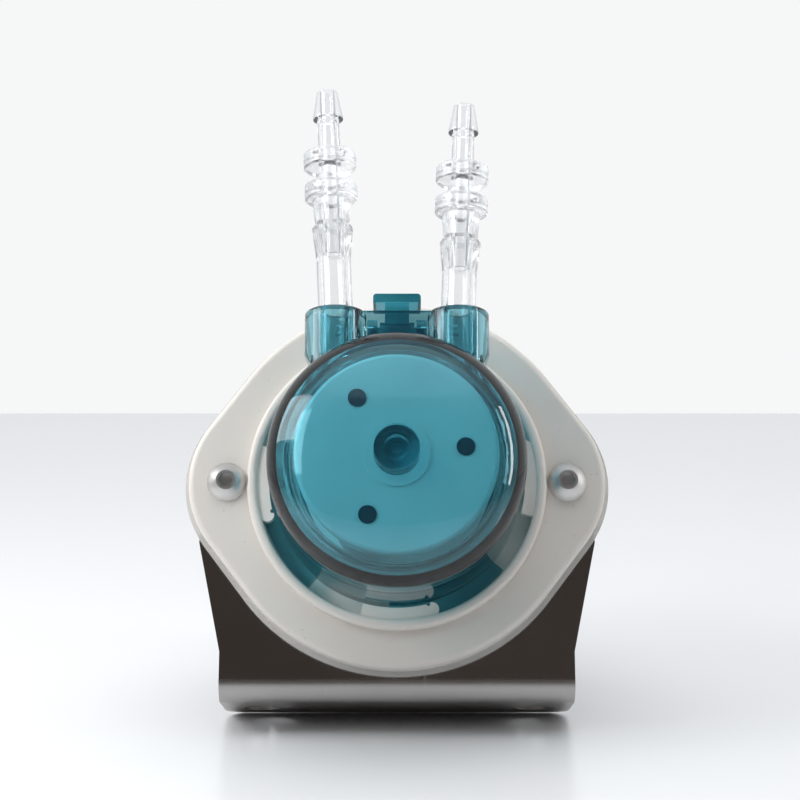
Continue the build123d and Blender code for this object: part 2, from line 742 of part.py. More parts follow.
def motor_stator():
    middle = disc(stator_slot_r, stator_back - over, stator_front + over)
    body = motor_block(stator_front, stator_back) - middle
    for index in range(pole_count):
        angle = index * 360 / pole_count
        root_r = stator_slot_r + stator_root
        half = pole_width / 2
        pole = block(stator_bore_r + fit_gap, root_r, -half, half, stator_back, stator_front)
        body += Rot(0, 0, angle) * pole
        body += sector(stator_bore_r, stator_bore_r + pole_shoe_t, angle - pole_shoe_half_angle,
                       2 * pole_shoe_half_angle, stator_back, stator_front)
    for x, y in corners(motor_bolt_half):
        body -= disc(m3_clear_r, stator_back - over, stator_front + over, x, y)
    return body


def stator_coils():
    """One winding round each pole, standing out of the stack at both ends."""
    inner = stator_bore_r + pole_shoe_t + coil_gap
    half = pole_width / 2
    outer = sqrt(stator_slot_r ** 2 - (half + coil_wall) ** 2) - coil_gap
    coils = []
    for index in range(pole_count):
        winding = block(inner, outer, -half - coil_wall, half + coil_wall,
                        stator_back - coil_overhang, stator_front + coil_overhang)
        winding -= block(inner - over, outer + over, -half, half, stator_back, stator_front)
        coils.append(Rot(0, 0, index * 360 / pole_count) * winding)
    return coils


def motor_rear_cap():
    body = motor_block(stator_back, motor_back)
    body -= disc(cap_cavity_r, stator_back - cap_cavity_depth, stator_back + over)
    body -= disc(bearing_outer_r, rear_bearing_back() - wave_washer_t, stator_back)
    for x, y in corners(motor_bolt_half):
        body -= disc(m3_clear_r, motor_back - over, stator_back + over, x, y)
        body -= disc(tie_screw_head_r + loose_gap, motor_back - over, motor_back + tie_screw_head_h, x, y)
    half = socket_width / 2
    return body - block(-half, half, socket_base(), motor_side, socket_back(), socket_back() + socket_depth)


def motor_tie_screws():
    tip = motor_face - motor_screw_length + sheet - over
    screws = []
    for x, y in corners(motor_bolt_half):
        head = disc(tie_screw_head_r, motor_back, motor_back + tie_screw_head_h, x, y)
        slot_front = motor_back + cross_depth
        slot = block(-cross_half, cross_half, -cross_half_t, cross_half_t, motor_back - over, slot_front)
        cross = Pos(x, y, 0) * (slot + Rot(0, 0, 90) * slot)
        screws.append(head - cross + disc(m3_r, motor_back + tie_screw_head_h - blend, tip, x, y))
    return screws


def bearing_backs():
    return front_bearing_back(), rear_bearing_back()


def bearing_outer_rings():
    inner = bearing_outer_r - bearing_ring_t
    return [ring(bearing_outer_r, inner, back, back + bearing_t) for back in bearing_backs()]


def bearing_inner_rings():
    outer = shaft_r + bearing_ring_t
    return [ring(outer, shaft_r, back, back + bearing_t) for back in bearing_backs()]


def bearing_balls():
    """Balls sit in the gap between the plain races."""
    race = (shaft_r + bearing_outer_r) / 2
    balls = []
    for back in bearing_backs():
        for index in range(ball_count):
            x, y = polar(race, index * 360 / ball_count)
            balls.append(Pos(x, y, back + bearing_t / 2) * Sphere(ball_r - running_gap))
    return balls


def wave_washer():
    back = rear_bearing_back() - wave_washer_t
    return ring(bearing_outer_r - fit_gap, bearing_outer_r - bearing_ring_t, back, back + wave_washer_t)


def rotor_middle():
    return (stator_front + stator_back) / 2


def rotor_core(sign):
    near = rotor_middle() + sign * magnet_t / 2
    return ring(stator_bore_r - air_gap, shaft_r, near, near + sign * rotor_core_t)


def rotor_magnet():
    return ring(magnet_r, shaft_r, rotor_middle() - magnet_t / 2, rotor_middle() + magnet_t / 2)


def socket_back():
    return motor_back + socket_inset


def socket_base():
    return motor_side / 2 - socket_sink


def motor_socket():
    """Open box for the plug, standing on top of the rear cap."""
    half = socket_width / 2
    base = socket_base()
    z0 = socket_back()
    body = block(-half, half, base, base + socket_h, z0, z0 + socket_depth)
    body -= block(-half + socket_wall, half - socket_wall, base + socket_floor, base + socket_h + over,
                  z0 + socket_wall, z0 + socket_depth - socket_wall)
    for x in socket_pin_places():
        body -= socket_pin(x, z0 + socket_depth / 2)
    return body


def socket_pin_places():
    first = -(socket_pin_count - 1) / 2 * socket_pin_pitch
    return [first + index * socket_pin_pitch for index in range(socket_pin_count)]


def socket_pin(x, z):
    base = socket_base()
    return block(x - socket_pin_half, x + socket_pin_half, base, base + socket_h - socket_pin_low,
                 z - socket_pin_half, z + socket_pin_half)


def socket_pins():
    return [socket_pin(x, socket_back() + socket_depth / 2) for x in socket_pin_places()]


# ---- build every node -----------------------------------------------------------------------
save("bracket", bracket())
save("gasket", gasket())
save("mounting_flange", mounting_flange())
save("flange_screws", *flange_screws())
save("flange_washers", *flange_washers())
save("flange_nuts", *flange_nuts())
save("motor_mount_screws", *motor_mount_screws())

save("motor_front_cap", motor_front_cap())
save("motor_stator", motor_stator())
save("stator_coils", *stator_coils())
save("motor_rear_cap", motor_rear_cap())
save("motor_tie_screws", *motor_tie_screws())
save("bearing_outer_rings", *bearing_outer_rings())
save("bearing_balls", *bearing_balls())
save("wave_washer", wave_washer())
save("motor_socket", motor_socket())
save("motor_socket_pins", *socket_pins())

save("motor_shaft", motor_shaft())
save("bearing_inner_rings", *bearing_inner_rings())
save("rotor_core_front", rotor_core(1))
save("rotor_core_rear", rotor_core(-1))
save("rotor_magnet", rotor_magnet())
save("rotor_carrier", rotor_carrier())
save("rotor_front_plate", rotor_front_plate())
save("roller_pins", *roller_pins())
for number, (roller_x, roller_y) in enumerate(roller_places(), start=1):
    save(f"roller_{number}", roller(roller_x, roller_y))

save("cartridge_housing", cartridge_housing())
save("cartridge_cover", cartridge_cover())
save("pump_tube", pump_tube())
save("left_connector", connector(-1, left_stub_top))
save("right_connector", connector(1, right_stub_top))
save("release_tab", release_tab())
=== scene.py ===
"""Peristaltic pump: finishes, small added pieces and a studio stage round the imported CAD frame."""
import bpy
import math
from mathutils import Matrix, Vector


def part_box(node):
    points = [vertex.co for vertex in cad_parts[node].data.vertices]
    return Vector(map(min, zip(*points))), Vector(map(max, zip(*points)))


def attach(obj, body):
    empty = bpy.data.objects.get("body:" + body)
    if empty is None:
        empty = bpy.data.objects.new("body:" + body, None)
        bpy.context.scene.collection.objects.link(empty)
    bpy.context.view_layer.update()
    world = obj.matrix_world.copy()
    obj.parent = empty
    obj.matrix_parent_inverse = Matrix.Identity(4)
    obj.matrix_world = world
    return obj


bl_info = {
    "name": "Peristaltic pump finishes",
    "version": (1, 0, 0),
    "blender": (4, 5, 0),
    "location": "View3D > Sidebar > Pump",
    "description": "Gives a small roller pump its plastics, metals and studio stage",
    "category": "Object",
}

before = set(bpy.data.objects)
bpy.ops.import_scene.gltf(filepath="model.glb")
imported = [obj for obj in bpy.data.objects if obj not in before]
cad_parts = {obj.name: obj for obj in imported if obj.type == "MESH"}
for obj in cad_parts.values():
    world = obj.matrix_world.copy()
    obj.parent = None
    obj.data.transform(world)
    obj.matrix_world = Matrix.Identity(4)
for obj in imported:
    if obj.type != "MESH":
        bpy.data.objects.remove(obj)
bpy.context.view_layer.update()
MM = 0.001
SHANK_R = 1.5 * MM
POST_R = 3.15 * MM
CROWN_WELL_R = 1.7 * MM
CROWN_NUB_R = 0.85 * MM
SCREW_HEAD_H = 1.65 * MM
THREAD_PITCH = 0.5 * MM
THREAD_HEIGHT = 0.42        # share of the pitch
THREAD_STEPS = 28           # per turn
THREAD_SHORTFALL = 0.5      # turns left off at the screw's end
BEND_LOW_Z = 2.6 * MM       # the bracket is satin below this height
BEND_HIGH_Z = 3.4 * MM      # and polished above this one
POST_FADE = 0.97            # share of the post's radius where its painted shade starts to end
CROWN_FADE = 0.9            # the same for the painted shade in the crown's well and round its nub
DISC_RISE = (0.29, 0.32)    # shares of a connector's height over which its frost begins
DISC_FALL = (0.60, 0.63)    # and over which it ends
SMOOTH_ANGLE = math.radians(35)

# stage: colours, spans of the view direction's axes, lengths in metres and powers in watts
FLOOR_GAP = 0.05 * MM
FLOOR_DARK = (0.69, 0.70, 0.715, 1.0)
FLOOR_LIGHT = (0.72, 0.73, 0.745, 1.0)
ROOM_SPAN = (-0.45, 0.3)
ROOM_DARK = (0.075, 0.062, 0.055, 1.0)
ROOM_LIGHT = (0.86, 0.88, 0.90, 1.0)
OVERHEAD_SPAN = (0.42, 0.75)
OVERHEAD_TOP = 0.8
THROUGH_SPAN = (0.1, 0.85)
THROUGH_DARK = (0.36, 0.40, 0.44, 1.0)
BACKDROP = (0.925, 0.93, 0.935, 1.0)
SKY_STRENGTH = 1.15
SKY_SPREAD = math.radians(70)
SKY_AIM = (0.0, 0.4, -1.0)
CAMERA_SIDE = 0.435 * MM
SENSOR_WIDTH = 36.0         # millimetres
CLIP_NEAR = 0.005
CLIP_FAR = 20.0

# name, place from the flange's centre, width, height, power, seen in gloss
SOFTBOXES = (
    ("left_softbox", (-0.24, -0.17, 0.09), 0.07, 0.17, 0.42, False),
    ("left_card", (-0.25, -0.08, 0.147), 0.17, 0.12, 0.28, True),
    ("right_card", (0.34, -0.10, 0.10), 0.03, 0.26, 0.25, True),
    ("top_softbox", (0.0, -0.16, 0.46), 0.45, 0.30, 0.3, False),
)

# places read from the frame
FOOT_LOW, FOOT_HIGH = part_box("bracket")
REAR_LOW, REAR_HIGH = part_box("motor_rear_cap")
SCREW_LOW, SCREW_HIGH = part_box("flange_screws")
AXIS_X = 0.0
AXIS_Z = REAR_LOW[2] + (REAR_HIGH[0] - REAR_LOW[0]) / 2     # the rear cap is as high as it is wide
FLANGE_FRONT_Y = SCREW_LOW[1] + SCREW_HEAD_H


# ---- shader helpers -------------------------------------------------------------------------
class Value:
    """A number that varies over a surface; arithmetic on it adds Math nodes."""

    def __init__(self, paint, socket):
        self.paint = paint
        self.socket = socket

    def math(self, operation, first, second):
        made = self.paint.node("ShaderNodeMath", {"operation": operation}, {0: first, 1: second})
        return Value(self.paint, made)

    def __add__(self, other):
        return self.math("ADD", self, other)

    def __radd__(self, other):
        return self.math("ADD", other, self)

    def __sub__(self, other):
        return self.math("SUBTRACT", self, other)

    def __rsub__(self, other):
        return self.math("SUBTRACT", other, self)

    def __mul__(self, other):
        return self.math("MULTIPLY", self, other)

    def __rmul__(self, other):
        return self.math("MULTIPLY", other, self)


class Paint:
    """One procedural material and the nodes that make it."""

    def __init__(self, name, **surface):
        self.material = bpy.data.materials.new(name)
        self.material.use_nodes = True
        self.tree = self.material.node_tree
        self.shader = self.tree.nodes["Principled BSDF"]
        self.output = self.tree.nodes["Material Output"]
        for key, value in surface.items():
            socket_name = key.replace("_", " ").title().replace("Ior", "IOR")
            self.shader.inputs[socket_name].default_value = value
        self.place = self.node("ShaderNodeTexCoord", {}, {}, "Object")

    def node(self, kind, settings, inputs, output=0):
        made = self.tree.nodes.new(kind)
        for key, value in settings.items():
            if key == "stops":
                ramp = made.color_ramp.elements
                while len(ramp) < len(value):
                    ramp.new(0.5)
                for element, (position, colour) in zip(ramp, value):
                    element.position = position
                    element.color = colour
            else:
                setattr(made, key, value)
        for key, value in inputs.items():
            socket = made.inputs[key]
            if isinstance(value, Value):
                value = value.socket
            if isinstance(value, bpy.types.NodeSocket):
                self.tree.links.new(value, socket)
            else:
                socket.default_value = value
        return made.outputs[output]

    def link(self, name, value):
        socket = value.socket if isinstance(value, Value) else value
        self.tree.links.new(socket, self.shader.inputs[name])

    def stretched(self, scale):
        return self.node("ShaderNodeVectorMath", {"operation": "MULTIPLY"}, {0: self.place, 1: scale})

    def noise(self, scale, detail=2.0, stretch=(1.0, 1.0, 1.0), roughness=0.5):
        inputs = {"Vector": self.stretched(stretch), "Scale": scale, "Detail": detail, "Roughness": roughness}
        return Value(self, self.node("ShaderNodeTexNoise", {}, inputs, "Fac"))

    def specks(self, scale, size):
        """1 in small scattered dots and 0 between them."""
        inputs = {"Vector": self.place, "Scale": scale}
        far = Value(self, self.node("ShaderNodeTexVoronoi", {}, inputs, "Distance"))
        return self.between(far, size, size * 0.5)

    def axis(self, name):
        return Value(self, self.node("ShaderNodeSeparateXYZ", {}, {0: self.place}, name))

    def from_axis(self):
        """Distance from the pump axis."""
        centre = (AXIS_X, 0.0, AXIS_Z)
        away = self.node("ShaderNodeVectorMath", {"operation": "SUBTRACT"}, {0: self.place, 1: centre})
        flat = self.node("ShaderNodeVectorMath", {"operation": "MULTIPLY"}, {0: away, 1: (1.0, 0.0, 1.0)})
        return Value(self, self.node("ShaderNodeVectorMath", {"operation": "LENGTH"}, {0: flat}, "Value"))

    def between(self, value, start, end):
        """0 at start and 1 at end, held outside."""
        inputs = {"Value": value, "From Min": start, "From Max": end, "To Min": 0.0, "To Max": 1.0}
        return Value(self, self.node("ShaderNodeMapRange", {"interpolation_type": "SMOOTHSTEP"}, inputs))

    def mixed(self, share, first, second):
        inputs = {"Factor": share, "A": first, "B": second}
        made = self.tree.nodes.new("ShaderNodeMix")
        made.data_type = "RGBA"
        for key, value in inputs.items():
            kind = "VALUE" if key == "Factor" else "RGBA"
            socket = next(s for s in made.inputs if s.name == key and s.type == kind)
            if isinstance(value, Value):
                value = value.socket
            if isinstance(value, bpy.types.NodeSocket):
                self.tree.links.new(value, socket)
            else:
                socket.default_value = value
        return next(s for s in made.outputs if s.type == "RGBA")

    def bump(self, height, strength, distance):
        inputs = {"Height": height, "Strength": strength, "Distance": distance}
        self.link("Normal", self.node("ShaderNodeBump", {}, inputs, "Normal"))

    def let_light_in(self, tint):
        """Shadow rays pass the clear wall tinted, so lamps reach what is behind it."""
        path = self.node("ShaderNodeLightPath", {}, {}, "Is Shadow Ray")
        open_side = self.node("ShaderNodeBsdfTransparent", {}, {"Color": tint})
        mix = self.node("ShaderNodeMixShader", {}, {0: path, 1: self.shader.outputs[0], 2: open_side})
        self.tree.links.new(mix, self.output.inputs["Surface"])


def shade(colour, factor):
    return (min(colour[0] * factor, 1.0), min(colour[1] * factor, 1.0), min(colour[2] * factor, 1.0), 1.0)


def finish_nodes(paint, *names):
    for name in names:
        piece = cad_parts[name]
        piece.data.materials.clear()
        piece.data.materials.append(paint.material)


# ---- metals ---------------------------------------------------------------------------------
def polished_sheet(look):
    """Bright rolled stainless sheet: fine brush lines, handling scratches and a satin bend."""
    paint = Paint("polished_stainless_sheet", metallic=1.0)
    steel = look.steel_colour
    cloud = paint.noise(45.0, 3.0)
    lines = paint.noise(900.0, 2.0, (0.05, 1.0, 1.0))
    scratch = paint.between(paint.noise(260.0, 3.0, (1.0, 1.0, 0.06), 0.7), 0.66, 0.74)
    height = paint.axis("Z")
    bend = 1.0 - paint.between(height, BEND_LOW_Z, BEND_HIGH_Z)
    tone = paint.mixed(cloud, shade(steel, 0.86), shade(steel, 1.1))
    paint.link("Base Color", paint.mixed(scratch * 0.35, tone, shade(steel, 1.5)))
    paint.link("Roughness", 0.13 + cloud * 0.09 + scratch * 0.2 + bend * 0.18)
    paint.bump(lines * 0.4 + scratch, 0.12, 0.02 * MM)
    return paint


def turned_steel(name, colour, roughness):
    """Machined steel with faint tool marks."""
    paint = Paint(name, metallic=1.0)
    cloud = paint.noise(300.0, 3.0)
    marks = paint.noise(2500.0, 1.0)
    paint.link("Base Color", paint.mixed(cloud, shade(colour, 0.8), shade(colour, 1.15)))
    paint.link("Roughness", roughness + cloud * 0.12)
    paint.bump(marks, 0.1, 0.02 * MM)
    return paint


def cast_aluminium(look):
    """Die-cast motor caps, blasted and lightly oxidised."""
    paint = Paint("blasted_cast_aluminium", metallic=1.0)
    grain = paint.noise(1800.0, 3.0)
    cloud = paint.noise(60.0, 2.0)
    metal = look.aluminium_colour
    paint.link("Base Color", paint.mixed(cloud, shade(metal, 0.85), shade(metal, 1.12)))
    paint.link("Roughness", 0.42 + grain * 0.18)
    paint.bump(grain, 0.35, 0.05 * MM)
    return paint


def black_laminations(look):
    """Stacked sheet steel under black paint; the sheet edges show as fine lines."""
    paint = Paint("painted_laminations", metallic=0.0)
    inputs = {"Vector": paint.place, "Scale": 320.0, "Distortion": 0.4, "Detail": 1.0}
    edges = Value(paint, paint.node("ShaderNodeTexWave", {"bands_direction": "Y"}, inputs, "Fac"))
    cloud = paint.noise(120.0, 3.0)
    dark = look.lamination_colour
    paint.link("Base Color", paint.mixed(edges * 0.5 + cloud * 0.3, shade(dark, 0.6), shade(dark, 1.9)))
    paint.link("Roughness", 0.38 + cloud * 0.2)
    paint.bump(edges, 0.5, 0.06 * MM)
    return paint


def wound_copper(look):
    """Enamelled wire laid in even turns."""
    paint = Paint("enamelled_copper_wire", metallic=1.0)
    inputs = {"Vector": paint.place, "Scale": 900.0, "Distortion": 0.6, "Detail": 1.0}
    turns = Value(paint, paint.node("ShaderNodeTexWave", {"bands_direction": "Y"}, inputs, "Fac"))
    copper = look.copper_colour
    paint.link("Base Color", paint.mixed(turns, shade(copper, 0.5), shade(copper, 1.2)))
    paint.link("Roughness", 0.24 + turns * 0.12)
    paint.bump(turns, 0.6, 0.08 * MM)
    return paint


# ---- plastics and rubbers -------------------------------------------------------------------
def moulded_plastic(name, colour, roughness, speck=0.25):
    """Opaque moulded plastic: a soft mottle, fine grain and a few dark specks."""
    paint = Paint(name, metallic=0.0)
    cloud = paint.noise(70.0, 3.0)
    grain = paint.noise(1600.0, 2.0)
    dots = paint.specks(420.0, 0.09)
    tone = paint.mixed(cloud, shade(colour, 0.95), shade(colour, 1.03))
    paint.link("Base Color", paint.mixed(dots * speck, tone, shade(colour, 0.45)))
    paint.link("Roughness", roughness + cloud * 0.08 + grain * 0.05)
    paint.bump(grain, 0.18, 0.03 * MM)
    return paint


def clear_teal(name, teal, shaded_r=0.0):
    """Clear tinted polycarbonate with flow waves, hair scratches and a little dust.

    Within the given radius of the pump axis the colour is darker: painted shade of the post in the rotor's
    bore and of the crown's well.
    """
    paint = Paint(name, roughness=0.03, ior=1.5)
    paint.shader.inputs["Transmission Weight"].default_value = 1.0
    waves = paint.noise(90.0, 1.0)
    scratch = paint.between(paint.noise(380.0, 3.0, (1.0, 1.0, 0.12), 0.7), 0.68, 0.75)
    dust = paint.specks(520.0, 0.1)
    tone = paint.mixed(waves, shade(teal, 0.93), shade(teal, 1.07))
    tone = paint.mixed(dust * 0.35, tone, shade(teal, 0.5))
    if shaded_r:
        inside = 1.0 - paint.between(paint.from_axis(), shaded_r * POST_FADE, shaded_r)
        well = 1.0 - paint.between(paint.from_axis(), CROWN_WELL_R * CROWN_FADE, CROWN_WELL_R)
        nub = 1.0 - paint.between(paint.from_axis(), CROWN_NUB_R * CROWN_FADE, CROWN_NUB_R)
        # painted shade: darker teal round the post, where it sits deep in the rotor's bore and no light gets
        # in, and in the crown's well round its nub
        painted_shade_teal = (teal[0] * 0.25, teal[1] * 0.55, teal[2] * 0.62, 1.0)
        painted_shade = inside * 0.75 + (well - nub) * 0.25
        tone = paint.mixed(painted_shade, tone, painted_shade_teal)
    paint.link("Base Color", tone)
    paint.link("Roughness", 0.03 + scratch * 0.12 + dust * 0.2)
    paint.bump(waves * 0.6 + scratch * 0.2, 0.1, 0.06 * MM)
    paint.let_light_in(tuple(math.sqrt(part) for part in teal) + (1.0,))
    return paint


def clear_rubber(look):
    """Clear soft tube wall, slightly milky, with extrusion lines."""
    paint = Paint("clear_tube_rubber", ior=1.42)
    paint.shader.inputs["Transmission Weight"].default_value = 0.98
    cloud = paint.noise(150.0, 2.0, (1.0, 1.0, 0.15))
    lines = paint.noise(900.0, 1.0, (1.0, 1.0, 0.03))
    milk = look.tube_colour
    paint.link("Base Color", paint.mixed(cloud, shade(milk, 0.97), shade(milk, 1.03)))
    paint.link("Roughness", 0.06 + cloud * 0.08)
    paint.bump(lines, 0.06, 0.03 * MM)
    paint.let_light_in(shade(milk, 0.9))
    return paint


def clear_fitting(look, name, node):
    """Clear moulded connector: glossy barbs and frosted discs, by height above its tail."""
    paint = Paint(name, ior=1.49)
    paint.shader.inputs["Transmission Weight"].default_value = 1.0
    low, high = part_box(node)
    total = high[2] - low[2]
    height = paint.axis("Z")
    frost_on = paint.between(height, *(low[2] + share * total for share in DISC_RISE))
    disc_zone = frost_on * (1.0 - paint.between(height, *(low[2] + share * total for share in DISC_FALL)))
    frost = paint.noise(1500.0, 2.0)
    clear = look.fitting_colour
    paint.link("Base Color", paint.mixed(disc_zone, shade(clear, 1.0), shade(clear, 1.03)))
    paint.link("Roughness", 0.05 + disc_zone * (0.12 + frost * 0.1))
    paint.bump(frost * disc_zone, 0.25, 0.04 * MM)
    paint.let_light_in(shade(clear, 0.9))
    return paint


def gasket_rubber(look):
    """Thin translucent gasket with a soft mottle."""
    paint = Paint("translucent_gasket_rubber", ior=1.42)
    paint.shader.inputs["Transmission Weight"].default_value = 0.35
    cloud = paint.noise(200.0, 2.0)
    pale = look.gasket_colour
    paint.link("Base Color", paint.mixed(cloud, shade(pale, 0.92), shade(pale, 1.05)))
    paint.link("Roughness", 0.3 + cloud * 0.15)
    paint.bump(cloud, 0.15, 0.05 * MM)
    return paint


# ---- settings -------------------------------------------------------------------------------
def colour_setting(name, description, default):
    return bpy.props.FloatVectorProperty(name=name, description=description, subtype="COLOR", size=3,
                                         min=0.0, max=1.0, default=default)


def length_setting(name, description, default):
    return bpy.props.FloatProperty(name=name, description=description, default=default, unit="LENGTH")


class PumpLook(bpy.types.PropertyGroup):
    """Colours of the pump's finishes."""

    steel_colour: colour_setting("Sheet steel", "Polished bracket sheet", (0.46, 0.445, 0.435))
    screw_colour: colour_setting("Screw steel", "Stainless screws, nuts and washers", (0.70, 0.69, 0.68))
    # near-black with a teal cast: painted shade for the pin ends in their holes
    pin_colour: colour_setting("Roller pins", "Blackened roller pins", (0.008, 0.05, 0.075))
    aluminium_colour: colour_setting("Cast aluminium", "Motor caps", (0.50, 0.51, 0.53))
    lamination_colour: colour_setting("Laminations", "Painted stator stack", (0.02, 0.02, 0.022))
    copper_colour: colour_setting("Copper", "Windings", (0.75, 0.33, 0.16))
    flange_colour: colour_setting("Flange plastic", "White mounting flange", (0.70, 0.67, 0.63))
    rotor_colour: colour_setting("Rotor plastic", "White rotor plates and rollers", (0.86, 0.86, 0.84))
    teal_colour: colour_setting("Clear teal", "Cartridge housing and cover", (0.255, 0.55, 0.62))
    tab_colour: colour_setting("Release tab", "Deeper teal of the release tab", (0.045, 0.31, 0.40))
    tube_colour: colour_setting("Tube rubber", "Clear pump tube", (0.955, 0.957, 0.96))
    fitting_colour: colour_setting("Fitting plastic", "Clear barbed connectors", (0.955, 0.962, 0.97))
    gasket_colour: colour_setting("Gasket rubber", "Translucent gasket", (0.80, 0.79, 0.76))
    socket_colour: colour_setting("Socket plastic", "Motor plug socket", (0.80, 0.77, 0.68))


class PumpStage(bpy.types.PropertyGroup):
    """Sizes of the studio stage."""

    floor_front: length_setting("Floor in front", "How far the floor reaches forward", 0.9)
    floor_back: length_setting("Floor behind", "How far the floor reaches back", 0.401)
    floor_half: length_setting("Floor half width", "Half of the floor's width", 1.6)
    camera_reach: length_setting("Camera distance", "From the flange face to the camera", 0.2832)
    camera_drop: length_setting("Camera below the axis", "How far below the pump axis", 0.06356)
    camera_pitch: bpy.props.FloatProperty(name="Camera pitch", description="Upward tilt of the view",
                                          default=math.radians(15.0), subtype="ANGLE")
    lens: bpy.props.FloatProperty(name="Lens", description="Focal length in millimetres", default=90.0)


# ---- modelling helpers ----------------------------------------------------------------------
def deselect():
    if bpy.context.object and bpy.context.object.mode != "OBJECT":
        bpy.ops.object.mode_set(mode="OBJECT")
    bpy.ops.object.select_all(action="DESELECT")


def settle(piece):
    """Put the piece's place into its mesh, at the origin, unturned and unscaled."""
    deselect()
    piece.select_set(True)
    bpy.context.view_layer.objects.active = piece
    bpy.ops.object.transform_apply(location=True, rotation=True, scale=True)
    bpy.ops.object.shade_smooth_by_angle(angle=SMOOTH_ANGLE)


# ---- operators ------------------------------------------------------------------------------
class PUMP_OT_bracket(bpy.types.Operator):
    """Finish the angle bracket."""

    bl_idname = "pump.bracket"
    bl_label = "Bracket"

    def execute(self, context):
        finish_nodes(polished_sheet(context.scene.pump_look), "bracket")
        return {"FINISHED"}


class PUMP_OT_flange(bpy.types.Operator):
    """Finish the white flange and its gasket."""

    bl_idname = "pump.flange"
    bl_label = "Flange and gasket"

    def execute(self, context):
        look = context.scene.pump_look
        finish_nodes(moulded_plastic("white_flange_plastic", look.flange_colour, 0.3), "mounting_flange")
        finish_nodes(gasket_rubber(look), "gasket")
        return {"FINISHED"}


class PUMP_OT_fasteners(bpy.types.Operator):
    """Finish the screws, nuts and washers."""

    bl_idname = "pump.fasteners"
    bl_label = "Fasteners"

    def execute(self, context):
        look = context.scene.pump_look
        paint = turned_steel("stainless_screw_steel", look.screw_colour, 0.42)
        finish_nodes(paint, "flange_screws", "flange_washers", "flange_nuts")
        finish_nodes(paint, "motor_mount_screws", "motor_tie_screws")
        return {"FINISHED"}


class PUMP_OT_threads(bpy.types.Operator):
    """Wind the thread's ridge round the screw ends that stand out behind the nuts."""

    bl_idname = "pump.threads"
    bl_label = "Screw threads"

    def execute(self, context):
        look = context.scene.pump_look
        paint = turned_steel("rolled_thread_steel", look.screw_colour, 0.28)
        nut_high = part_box("flange_nuts")[1]
        head_r = (SCREW_HIGH[2] - SCREW_LOW[2]) / 2
        centre_x = SCREW_HIGH[0] - head_r
        centre_z = (SCREW_LOW[2] + SCREW_HIGH[2]) / 2
        turns = int((SCREW_HIGH[1] - nut_high[1]) / THREAD_PITCH - THREAD_SHORTFALL)
        for side, label in ((-1, "left"), (1, "right")):
            ridge = thread_ridge(f"{label}_screw_thread", SHANK_R, THREAD_PITCH, turns)
            ridge.location = (side * centre_x, nut_high[1] + THREAD_PITCH / 2, centre_z)
            settle(ridge)
            ridge.data.materials.append(paint.material)
            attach(ridge, "root")
        return {"FINISHED"}


def thread_ridge(name, radius, pitch, turns):
    """Triangular ridge wound round Y at this radius, climbing one pitch a turn from the origin."""
    deselect()
    bpy.ops.mesh.primitive_circle_add(vertices=3, radius=pitch * THREAD_HEIGHT, fill_type="NOTHING",
                                      location=(radius, 0, 0), rotation=(0, 0, -math.pi / 2))
    piece = bpy.context.object
    piece.name = name
    bpy.ops.object.transform_apply(location=True, rotation=True, scale=True)
    wind = piece.modifiers.new("wind", "SCREW")
    wind.axis = "Y"
    wind.screw_offset = pitch
    wind.iterations = turns
    wind.steps = THREAD_STEPS
    wind.render_steps = THREAD_STEPS
    bpy.ops.object.modifier_apply(modifier=wind.name)
    bpy.ops.object.mode_set(mode="EDIT")
    bpy.ops.mesh.select_all(action="SELECT")
    bpy.ops.mesh.fill_holes(sides=3)
    bpy.ops.mesh.normals_make_consistent(inside=False)
    bpy.ops.object.mode_set(mode="OBJECT")
    return piece


class PUMP_OT_cartridge(bpy.types.Operator):
    """Finish the clear teal housing, cover and release tab."""

    bl_idname = "pump.cartridge"
    bl_label = "Cartridge"

    def execute(self, context):
        look = context.scene.pump_look
        finish_nodes(clear_teal("clear_teal_plastic", look.teal_colour), "cartridge_housing")
        # the cover's colour is darker round the pump axis: painted shade of the post in the rotor's bore
        finish_nodes(clear_teal("clear_teal_cover", look.teal_colour, POST_R), "cartridge_cover")
        finish_nodes(clear_teal("deep_teal_plastic", look.tab_colour), "release_tab")
        return {"FINISHED"}


class PUMP_OT_tube(bpy.types.Operator):
    """Finish the pump tube and its two barbed connectors."""

    bl_idname = "pump.tube"
    bl_label = "Tube and connectors"

    def execute(self, context):
        look = context.scene.pump_look
        finish_nodes(clear_rubber(look), "pump_tube")
        for node in ("left_connector", "right_connector"):
            finish_nodes(clear_fitting(look, f"{node}_plastic", node), node)
        return {"FINISHED"}


class PUMP_OT_rotor(bpy.types.Operator):
    """Finish the rotor, its rollers, pins and shaft."""

    bl_idname = "pump.rotor"
    bl_label = "Rotor"

    def execute(self, context):
        look = context.scene.pump_look
        white = moulded_plastic("white_rotor_plastic", look.rotor_colour, 0.32, 0.1)
        finish_nodes(white, "rotor_carrier", "rotor_front_plate")
        acetal = moulded_plastic("smooth_roller_plastic", look.rotor_colour, 0.22, 0.05)
        finish_nodes(acetal, "roller_1", "roller_2", "roller_3")
        ground = turned_steel("ground_pin_steel", look.screw_colour, 0.14)
        finish_nodes(ground, "motor_shaft", "wave_washer")
        finish_nodes(ground, "bearing_inner_rings", "bearing_outer_rings", "bearing_balls")
        # the pins' near-black, teal-cast colour is painted shade: the dark the steel pin ends show in their
        # holes behind the cover
        finish_nodes(moulded_plastic("pins_painted_dark", look.pin_colour, 0.35, 0.1), "roller_pins")
        return {"FINISHED"}


